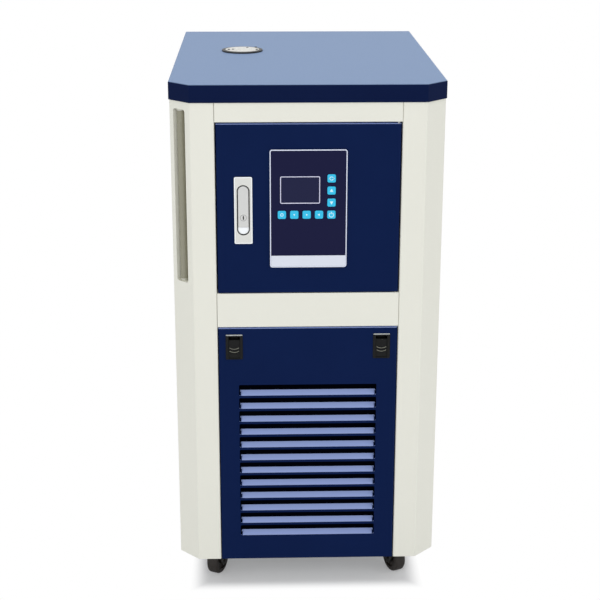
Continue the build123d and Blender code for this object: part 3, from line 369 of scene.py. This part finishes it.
film_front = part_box("name_strip")[1][1]
second_colour(face_film, "Y", film_front - 0.15 * MM, "#dfe3f4", above=False)

# A plated casting, lighter than the lever because it has the finer polish.
pocket_metal = moulded(
    "satin-plated lock housing", "#dcdcd6", 0.42, 0.8, 0.05, 0.04, Metallic=0.1
)
lock_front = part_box("lock_housing")[0][1]
# Painted shade: black deeper than 1.1 mm behind the lock's front, in the pocket and on the
# housing's sides.
second_colour(pocket_metal, "Y", lock_front + 1.1 * MM, "#08080a")

# Cast and tumbled, so its top is mottled in patches of about three millimetres.
cap_metal = moulded("pitted cast cap", "#cfcec8", 0.45, 3.2, 1.0, 0.45, Metallic=0.2)
cap_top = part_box("filler_cap")[1][2]
# Below the top 1.1 mm the cap is near black: a painted reflection of a dark room on its side
# wall, and painted shade in its holes.
second_colour(cap_metal, "Z", cap_top - 1.1 * MM, "#050608", above=False)
print("front of the printed film at", round(film_front / MM, 2), "mm")

# %% [markdown]
# ## Materials onto the solid parts
# Each solid keeps its mesh and only takes a new material in its slot. The dictionary
# reads as the parts list of the unit.

# %% Give each solid its material
corners = ["front_left", "front_right", "rear_left", "rear_right"]
finish_of = {
    ivory_paint: ["side_panel_left", "side_panel_right", "rear_panel", "top_rail", "mid_rail",
                  "sight_channel"],
    navy_paint: ["door_panel", "lower_panel"],
    cover_paint: ["top_cover"],
    galvanised: ["base_plate", "mid_shelf", "control_gear", "fan_shroud", "lock_cam"],
    stainless: ["expansion_tank", "filler_neck", "hinge_pins", "outlet_nozzle", "inlet_nozzle",
                "pump_unit"],
    cap_metal: ["filler_cap"],
    black_steel: ["caster_mounts"] + ["fork_" + corner for corner in corners],
    pocket_metal: ["lock_housing"],
    zinc_lock: ["lock_lever", "lock_plug"],
    painted_reflection_white: ["lock_button"],
    nickel: ["sight_fittings"],
    black_nylon: ["latch_housings", "latch_slider_left", "latch_slider_right", "cable_gland",
                  "controller_case", "fan_rotor"],
    enamel: ["compressor", "fan_motor"],
    face_film: ["controller_bezel"],
    key_film: ["key_cycle", "key_up", "key_down", "key_power", "key_set", "key_menu",
               "key_right", "key_left"],
    window_film: ["screen_lens"],
    aluminium: ["name_strip"],
    fin_aluminium: ["condenser"],
    brass: ["drain_valve"],
    copper: ["refrigerant_line"],
    glass_tube: ["sight_tube"],
    foam: ["heater_vessel", "liquid_pipes"],
    tyre_rubber: ["wheel_" + corner for corner in corners],
}
dressed = 0
for material, names in finish_of.items():
    for name in names:
        slots = nodes[name].data.materials
        slots.clear()
        slots.append(material)
        dressed += 1
print("solids with a material:", dressed, "of", len(nodes))

# %% [markdown]
# ## Flat trim: printed lines and marks
# The marks on the keys, the line round the display and the seal round the lock's lever
# are all thin flat shapes that stand on a face. Each starts as a filled circle or plane
# facing the front, is shaped in edit mode, and is extruded to a small thickness. An
# inset with its middle face deleted turns a disc into a ring. From here on, sizes are
# written in millimetres, as on a drawing.


# %% Helpers for flat pieces
def in_edit(mode="FACE"):
    """Edit mode with nothing selected."""
    bpy.ops.object.mode_set(mode="EDIT")
    bpy.ops.mesh.select_mode(type=mode)
    bpy.ops.mesh.select_all(action="DESELECT")


def pick_faces(test):
    """Selects the faces whose centre and normal pass a test, from edit mode."""
    bpy.ops.object.mode_set(mode="OBJECT")
    for face in bpy.context.object.data.polygons:
        face.select = bool(test(face.center, face.normal))
    bpy.ops.object.mode_set(mode="EDIT")


def settle(name, material, body):
    """Puts the place into the mesh, and gives the piece its name, finish and body."""
    if bpy.context.object.mode != "OBJECT":
        bpy.ops.object.mode_set(mode="OBJECT")
    bpy.ops.object.transform_apply(location=True, rotation=True, scale=True)
    piece = bpy.context.object
    piece.name = name
    piece.data.name = name
    piece.data.materials.clear()
    piece.data.materials.append(material)
    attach(piece, body)
    return piece


def thicken(amount):
    """Extrudes the whole flat shape towards the front, and closes its back."""
    bpy.ops.mesh.select_all(action="SELECT")
    bpy.ops.mesh.extrude_region_move(TRANSFORM_OT_translate={"value": (0, -amount, 0)})
    bpy.ops.mesh.select_all(action="SELECT")
    bpy.ops.mesh.normals_make_consistent(inside=False)


def front_disc(corners, radius, x, y, z, turn=0.0):
    """A filled circle that faces the front, its first corner up and turned clockwise."""
    bpy.ops.object.select_all(action="DESELECT")
    bpy.ops.mesh.primitive_circle_add(
        vertices=corners, radius=radius * MM, fill_type="NGON",
        location=(x * MM, y * MM, z * MM), rotation=(radians(90), radians(turn), 0),
    )
    bpy.ops.object.transform_apply(location=True, rotation=True, scale=True)


def hollow(width, keep=None):
    """Turns the disc into a ring of this width and keeps the faces that pass a test."""
    in_edit()
    bpy.ops.mesh.select_all(action="SELECT")
    bpy.ops.mesh.inset(thickness=width * MM)
    bpy.ops.mesh.delete(type="FACE")
    if keep:
        pick_faces(lambda centre, normal: not keep(centre))
        bpy.ops.mesh.delete(type="FACE")


def mm_box(node):
    """The low and high corner of a CAD node in millimetres."""
    low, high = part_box(node)
    return [v / MM for v in low], [v / MM for v in high]


# %% [markdown]
# ## Key marks
# Four keys stand in a column and four in a row. The marks are a ring with an arrow for
# cycling, up, down and the usual power sign, and small plain signs along the row. They
# are printed in white ink, so each is a thin shape that rides on its own key.


# %% Key marks
LINE_WIDTH = 0.95       # of a printed ring
INK_THICKNESS = 0.25    # mostly sunk into the key
INK_DEPTH = 0.2         # from the key's front to the back of the ink
POWER_GAP = 1.7         # half the opening at the top of the power sign
BAR_SHAPE = (0.35, 1, 1.1)    # squeezes a square into an upright bar


def key_mark(key, parts):
    """Prints the parts of a mark on one key and joins them to one piece."""
    low, high = mm_box(key)
    x, y, z = (low[0] + high[0]) / 2, low[1] + INK_DEPTH, (low[2] + high[2]) / 2
    made = []
    for kind, radius, dx, dz, turn in parts:
        if kind == "bar":
            front_disc(4, radius, x + dx, y, z + dz, 45)
            in_edit()
            bpy.ops.mesh.select_all(action="SELECT")
            bpy.ops.transform.resize(
                value=BAR_SHAPE, center_override=(x * MM, y * MM, (z + dz) * MM)
            )
        else:
            front_disc(3 if kind == "arrow" else 28, radius, x + dx, y, z + dz, turn)
            in_edit()
            if kind == "ring":
                hollow(LINE_WIDTH)
            elif kind == "open ring":
                hollow(
                    LINE_WIDTH,
                    lambda c: not (c.z > z * MM and abs(c.x - x * MM) < POWER_GAP * MM),
                )
        thicken(INK_THICKNESS * MM)
        bpy.ops.object.mode_set(mode="OBJECT")
        made.append(bpy.context.object)
    for piece in made:
        piece.select_set(True)
    if len(made) > 1:
        bpy.ops.object.join()
    return settle(key + "_mark", white_ink, key + "_cap")


# Each part is its kind, its radius, its place right and up from the key's middle, and
# its turn in degrees.
marks = {
    "key_cycle": [
        ("ring", 3.1, 0, 0, 0), ("arrow", 1.6, 3.1, 0, 180), ("arrow", 1.6, -3.1, 0, 0),
    ],
    "key_up": [("arrow", 3.3, 0, -0.3, 0)],
    "key_down": [("arrow", 3.3, 0, 0.3, 180)],
    "key_power": [("open ring", 3.9, 0, -0.4, 0), ("bar", 2.2, 0, 2.6, 0)],
    "key_set": [("ring", 2.6, 0, 0, 0)],
    "key_menu": [("arrow", 1.9, 0, 0.2, 180)],
    "key_right": [("arrow", 1.9, 0, 0, 90)],
    "key_left": [("arrow", 2.2, 0, 0, -90)],
}
for key, parts in marks.items():
    key_mark(key, parts)
print("key marks:", len(marks))


# %% [markdown]
# ## The line round the display and the painted highlight on the lock's edge
# Both are narrow frames with rounded corners. A plane is resized to the outside of the
# frame, its four corner points are bevelled, and an inset leaves the frame.


# %% Narrow frames
def narrow_frame(name, x0, x1, z0, z1, corner, width, back, front, material, body):
    """A rounded frame of this width between two depths."""
    middle = ((x0 + x1) / 2 * MM, back * MM, (z0 + z1) / 2 * MM)
    bpy.ops.object.select_all(action="DESELECT")
    bpy.ops.mesh.primitive_plane_add(
        size=1.0, location=middle, rotation=(radians(90), 0, 0)
    )
    bpy.ops.object.transform_apply(location=True, rotation=True, scale=True)
    in_edit("VERT")
    bpy.ops.mesh.select_all(action="SELECT")
    bpy.ops.transform.resize(
        value=((x1 - x0) * MM, 1, (z1 - z0) * MM), center_override=middle
    )
    bpy.ops.mesh.bevel(offset=corner * MM, segments=5, affect="VERTICES")
    bpy.ops.mesh.select_mode(type="FACE")
    hollow(width)
    thicken((back - front) * MM)
    return settle(name, material, body)


LINE_OVERLAP = 0.8      # the display's line lies this far outside the window
low, high = mm_box("screen_lens")
narrow_frame(
    "display_line", low[0] - LINE_OVERLAP, high[0] + LINE_OVERLAP, low[2] - LINE_OVERLAP,
    high[2] + LINE_OVERLAP, 2.2, 1.25, -315.3, -315.95, rim_film, "door",
)
# The lock's bright edge is a painted highlight: a thin white frame on the housing's rim.
EDGE_INSET = 0.05       # keeps the bright edge within the lock's own outline
low, high = mm_box("lock_housing")
narrow_frame(
    "lock_edge_highlight", low[0] + EDGE_INSET, high[0] - EDGE_INSET, low[2] + EDGE_INSET,
    high[2] - EDGE_INSET, 2.0, 1.4, low[1] + 0.4, low[1] - 0.15, painted_reflection_white, "door",
)
print("narrow frames: 2")

# %% [markdown]
# ## Painted shade round the lever, the key ring and the keyway
# The lever lies flush in its housing with a shaded gap all round it, shaped like a
# running track; a black ring paints that shade. A disc becomes the ring's shape when its
# upper half is moved up. The lock plug has a fine ring round it and a narrow slot for the key,
# whose shade a black sheet paints.

# %% Lever shade ring, key ring and keyway shade
SHADE_RING_OUTSIDE = 1.25     # past the lever's edge
SHADE_RING_WIDTH = 1.2
low, high = mm_box("lock_lever")
button_low, button_high = mm_box("lock_button")
lever_x = (button_low[0] + button_high[0]) / 2
lever_radius = (button_high[0] - button_low[0]) / 2
shade_ring_low = button_low[2] + lever_radius
# A black ring: painted shade in the gap round the lever.
front_disc(48, lever_radius + SHADE_RING_OUTSIDE, lever_x, low[1] + 0.2, shade_ring_low)
in_edit("VERT")
bpy.ops.object.mode_set(mode="OBJECT")
for point in bpy.context.object.data.vertices:
    point.select = point.co.z > (shade_ring_low + 0.01) * MM
bpy.ops.object.mode_set(mode="EDIT")
bpy.ops.transform.translate(value=(0, 0, (high[2] - lever_radius - shade_ring_low) * MM))
bpy.ops.mesh.select_mode(type="FACE")
hollow(SHADE_RING_WIDTH)
thicken(0.42 * MM)
settle("lever_shade_ring", painted_shade_black, "door")

low, high = mm_box("lock_plug")
plug_x, plug_z = (low[0] + high[0]) / 2, (low[2] + high[2]) / 2
front_disc(32, 5.3, plug_x, low[1] + 0.2, plug_z)
hollow(0.8)
thicken(0.3 * MM)
settle("plug_ring", dull_zinc, "lever")
# A black sheet over the keyway: painted shade in the slot.
front_disc(12, 3.4, plug_x, low[1] + 0.2, plug_z)
in_edit()
bpy.ops.mesh.select_all(action="SELECT")
bpy.ops.transform.resize(
    value=(0.32, 1, 1), center_override=(plug_x * MM, low[1] * MM, plug_z * MM)
)
thicken(0.28 * MM)
settle("keyway", painted_shade_black, "plug")
print("lock trimmed at x", round(plug_x, 1), "mm")

# %% [markdown]
# ## Painted shade in the filler cap's holes
# Five small black discs sit in the cap's holes and paint the shade inside them. Each is a
# short cylinder whose top rim is bevelled, so that its edge looks soft.

# %% Cap hole shades
# The reach of each shaded hole from the cap's middle, and its direction in degrees.
hole_shade_places = [(24, 194), (17, 198), (15.5, 57), (26, 347), (31, 41)]
cap_low, cap_high = mm_box("filler_cap")
cap_x, cap_y = (cap_low[0] + cap_high[0]) / 2, (cap_low[1] + cap_high[1]) / 2
for number, (reach, angle) in enumerate(hole_shade_places, 1):
    x = cap_x + reach * cos(radians(angle))
    y = cap_y + reach * sin(radians(angle))
    bpy.ops.object.select_all(action="DESELECT")
    bpy.ops.mesh.primitive_cylinder_add(
        vertices=16, radius=2.3 * MM, depth=0.6 * MM,
        location=(x * MM, y * MM, (cap_high[2] - 0.25) * MM),
    )
    bpy.ops.object.transform_apply(location=True, rotation=True, scale=True)
    in_edit()
    pick_faces(lambda centre, normal: normal.z > 0.9)
    bpy.ops.mesh.bevel(offset=0.04 * MM, segments=2, affect="EDGES")
    settle("cap_hole_shade_%d" % number, painted_shade_black, "cap")
print("cap hole shades:", len(hole_shade_places))

# %% [markdown]
# ## Latch ridges and lips, with painted highlights
# Each latch has a thumb pad with two curved ridges that catch the light; their grey is a
# painted highlight. A pale lip along the top of its housing is a painted highlight of that edge.
# A ridge is a short arc of a ring, so a disc is hollowed and only its lowest faces are kept.

# %% Latch ridges and lips, painted highlights
RIDGE_RADIUS = 14.0
RIDGE_HALF_LENGTH = 7.2
RIDGE_BOTTOMS = (433.4, 428.0)    # heights above the floor
LIP_HALF_LENGTH = 13.0
housing_low, housing_high = mm_box("latch_housings")
housing_front, housing_top = housing_low[1], housing_high[2]
for side in ("left", "right"):
    low, high = mm_box("latch_slider_" + side)
    middle = (low[0] + high[0]) / 2

    def on_ridge(centre):
        """True for the lowest faces of the ring, as long as the ridge is."""
        return centre.z < (bottom + 4.0) * MM and abs(centre.x - middle * MM) < (
            RIDGE_HALF_LENGTH * MM
        )

    for number, bottom in enumerate(RIDGE_BOTTOMS, 1):
        front_disc(64, RIDGE_RADIUS, middle, low[1] + 0.2, bottom + RIDGE_RADIUS)
        hollow(0.75, on_ridge)
        thicken(0.6 * MM)
        name = "latch_ridge_%s_%d" % (side, number)
        settle(name, ridge_painted_highlight, "slider_" + side)
    narrow_frame(
        "latch_lip_highlight_" + side, middle - LIP_HALF_LENGTH, middle + LIP_HALF_LENGTH,
        housing_top - 1.3, housing_top + 0.2, 0.3, 0.6, housing_front + 0.6,
        housing_front - 0.12, lip_painted_highlight, "louvred_panel",
    )
print("latch pieces: 6")

# %% [markdown]
# ## Filter mat behind the louvres, as painted shade
# A washable foam mat hangs behind the louvres and catches dust before the condenser.
# It is a soft slab with rounded edges and a quilted face, and it tilts with the panel. Its
# near-black is painted shade: it makes the louvre openings as dark as the shaded cabinet inside.

# %% Filter mat, painted shade
MAT_MIDDLE = (0, -301.5 * MM, 230.0 * MM)
MAT_SIZE = (236 * MM, 4.4 * MM, 288 * MM)
bpy.ops.object.select_all(action="DESELECT")
bpy.ops.mesh.primitive_cube_add(size=1.0, location=MAT_MIDDLE)
bpy.ops.object.transform_apply(location=True, rotation=True, scale=True)
in_edit()
bpy.ops.mesh.select_all(action="SELECT")
bpy.ops.transform.resize(value=MAT_SIZE, center_override=MAT_MIDDLE)
bpy.ops.mesh.bevel(offset=1.6 * MM, segments=2, affect="EDGES")
pick_faces(lambda centre, normal: normal.y < -0.9 or normal.y > 0.9)
bpy.ops.mesh.subdivide(number_cuts=11)
pick_faces(lambda centre, normal: normal.y < -0.9)
bpy.ops.mesh.inset(thickness=3.0 * MM, depth=0.5 * MM, use_individual=True)
settle("filter_mat_shade", filter_foam_shade, "louvred_panel")

# %% [markdown]
# ## Screws at the back
# Pan-head screws hold the rear panel. One is a short cylinder whose rim is bevelled
# and whose face is inset and pushed in for the socket. It is copied to each place, and
# the last place takes the first screw itself.

# %% Rear screws
HEAD_RADIUS = 4.2
HEAD_HEIGHT = 2.2
SOCKET_DEPTH = 1.0
rear_face = mm_box("rear_panel")[1][1]
bpy.ops.object.select_all(action="DESELECT")
bpy.ops.mesh.primitive_cylinder_add(
    vertices=20, radius=HEAD_RADIUS * MM, depth=HEAD_HEIGHT * MM,
    location=(0, (rear_face + 1.0) * MM, 0), rotation=(radians(-90), 0, 0),
)
bpy.ops.object.transform_apply(location=True, rotation=True, scale=True)
in_edit()
pick_faces(lambda centre, normal: normal.y > 0.9)
bpy.ops.mesh.bevel(offset=0.9 * MM, segments=3, affect="EDGES")
pick_faces(lambda centre, normal: normal.y > 0.99)
bpy.ops.mesh.inset(thickness=1.5 * MM)
bpy.ops.mesh.extrude_region_move(
    TRANSFORM_OT_translate={"value": (0, -SOCKET_DEPTH * MM, 0)}
)
bpy.ops.object.mode_set(mode="OBJECT")
first_screw = bpy.context.object
places = [(x, z) for x in (-203, 203) for z in (75, 265, 455, 645, 835)]
places += [(-70, 70), (70, 70)]
for number, (x, z) in enumerate(places, 1):
    bpy.ops.object.select_all(action="DESELECT")
    first_screw.select_set(True)
    bpy.context.view_layer.objects.active = first_screw
    if number < len(places):
        bpy.ops.object.duplicate()
    bpy.ops.transform.translate(value=(x * MM, 0, z * MM))
    settle("rear_screw_%02d" % number, stainless, "cabinet")
print("rear screws:", len(places))

# %% [markdown]
# ## Barbs on the hose nozzles
# Each hose nozzle has three rings that hold a pushed-on hose. A ring is a short open
# cone, wide towards the cabinet, that a Solidify modifier gives its wall.

# %% Hose barbs
BARB_PLACES = (291.0, 299.0, 307.0)    # along the nozzle, away from the front
BARB_WIDE, BARB_NARROW = 9.0, 8.0
BARB_LENGTH = 5.0
BARB_WALL = 1.4
for nozzle in ("outlet_nozzle", "inlet_nozzle"):
    low, high = mm_box(nozzle)
    x, z = (low[0] + high[0]) / 2, (low[2] + high[2]) / 2
    for number, y in enumerate(BARB_PLACES, 1):
        bpy.ops.object.select_all(action="DESELECT")
        bpy.ops.mesh.primitive_cone_add(
            vertices=32, radius1=BARB_WIDE * MM, radius2=BARB_NARROW * MM,
            depth=BARB_LENGTH * MM, end_fill_type="NOTHING",
            location=(x * MM, y * MM, z * MM), rotation=(radians(-90), 0, 0),
        )
        bpy.ops.object.transform_apply(location=True, rotation=True, scale=True)
        bpy.ops.object.modifier_add(type="SOLIDIFY")
        wall = bpy.context.object.modifiers[0]
        wall.thickness = BARB_WALL * MM
        bpy.ops.object.modifier_apply(modifier=wall.name)
        settle("%s_barb_%d" % (nozzle, number), stainless, "cabinet")
print("hose barbs:", 2 * len(BARB_PLACES))

# %% [markdown]
# ## Floor
# The photograph has a white ground with one soft grey shadow under the unit. The floor
# is a plain matt plane that keeps the shadow near the casters. The fade begins a little
# outside a rectangle under the cabinet, and from there on the camera sees plain white,
# so no horizon shows. Only camera rays see the white: the light on the unit is the same
# as with a plain floor.

# %% Floor
SHADOW_HALF_WIDTH = 0.13    # metres from here on, as lamps and floors are metre-sized
SHADOW_HALF_DEPTH = 0.25
FADE_START, FADE_END = 0.035, 0.07
bpy.ops.mesh.primitive_plane_add(size=24.0, location=(0, 0, 0))
floor = bpy.context.object
floor.name = "studio_floor"
floor_paint, tree, shader, place = new_material("matt white floor")
set_shader(shader, Roughness=0.9, IOR=1.2, Base_Color=linear("#f2f2f2"))
split = add_node(tree, "ShaderNodeSeparateXYZ", None, {0: place})
beyond = []
for axis, half in (("X", SHADOW_HALF_WIDTH), ("Y", SHADOW_HALF_DEPTH)):
    side = add_node(tree, "ShaderNodeMath", {"operation": "ABSOLUTE"}, {0: split.outputs[axis]})
    past = add_node(
        tree, "ShaderNodeMath", {"operation": "SUBTRACT", 1: half}, {0: side.outputs[0]}
    )
    beyond.append(past.outputs[0])
away = add_node(
    tree, "ShaderNodeMath", {"operation": "MAXIMUM"}, {0: beyond[0], 1: beyond[1]}
)
fade = add_node(
    tree, "ShaderNodeMapRange",
    {"From Min": FADE_START, "From Max": FADE_END, "To Min": 0.2,
     "interpolation_type": "SMOOTHSTEP"},
    {"Value": away.outputs["Value"]},
)
ray = add_node(tree, "ShaderNodeLightPath")
seen = add_node(
    tree, "ShaderNodeMath", {"operation": "MULTIPLY"},
    {0: ray.outputs["Is Camera Ray"], 1: fade.outputs["Result"]},
)
white = add_node(tree, "ShaderNodeEmission", {"Color": (1, 1, 1, 1), "Strength": 1.0})
blend = add_node(
    tree, "ShaderNodeMixShader", None,
    {0: seen.outputs[0], 1: shader.outputs[0], 2: white.outputs[0]},
)
output = next(n for n in tree.nodes if n.type == "OUTPUT_MATERIAL")
tree.links.new(blend.outputs[0], output.inputs["Surface"])
floor.data.materials.append(floor_paint)
print("floor at height 0")

# %% [markdown]
# ## World and lamps
# The world gives an even soft light, and is plain white to the camera, to reflections
# and through clear things. Three square lamps stand in for a photographer's softboxes:
# a large one in front, a weaker one at the right and one above.

# %% World and lamps
world = bpy.data.worlds.new("soft studio")
bpy.context.scene.world = world
world.use_nodes = True
tree = world.node_tree
tree.nodes.clear()
ray = add_node(tree, "ShaderNodeLightPath")
mirror = add_node(
    tree, "ShaderNodeMath", {"operation": "MAXIMUM"},
    {0: ray.outputs["Is Camera Ray"], 1: ray.outputs["Is Glossy Ray"]},
)
clear = add_node(
    tree, "ShaderNodeMath", {"operation": "MAXIMUM"},
    {0: mirror.outputs[0], 1: ray.outputs["Is Transmission Ray"]},
)
soft = add_node(tree, "ShaderNodeBackground", {"Color": linear("#f4f6fa"), "Strength": 0.62})
bright = add_node(tree, "ShaderNodeBackground", {"Color": (1, 1, 1, 1), "Strength": 1.0})
blend = add_node(
    tree, "ShaderNodeMixShader", None,
    {0: clear.outputs[0], 1: soft.outputs[0], 2: bright.outputs[0]},
)
add_node(tree, "ShaderNodeOutputWorld", None, {"Surface": blend.outputs[0]})


def softbox(name, place, aim, width, height, power):
    """A rectangular lamp of this size in metres and power in watts, pointed at aim."""
    bpy.ops.object.light_add(type="AREA", location=place)
    lamp = bpy.context.object
    lamp.name = name
    lamp.data.shape = "RECTANGLE"
    lamp.data.size = width
    lamp.data.size_y = height
    lamp.data.energy = power
    lamp.rotation_euler = (Vector(aim) - Vector(place)).to_track_quat("-Z", "Y").to_euler()


softbox("front_softbox", (-0.9, -3.4, 2.3), (0, 0, 0.45), 2.2, 1.8, 42.0)
softbox("right_softbox", (3.0, -1.4, 1.8), (0, 0, 0.45), 1.6, 1.6, 16.0)
softbox("top_softbox", (0.0, 0.3, 3.2), (0, 0, 0.8), 2.4, 2.4, 30.0)
print("world and three softboxes ready")
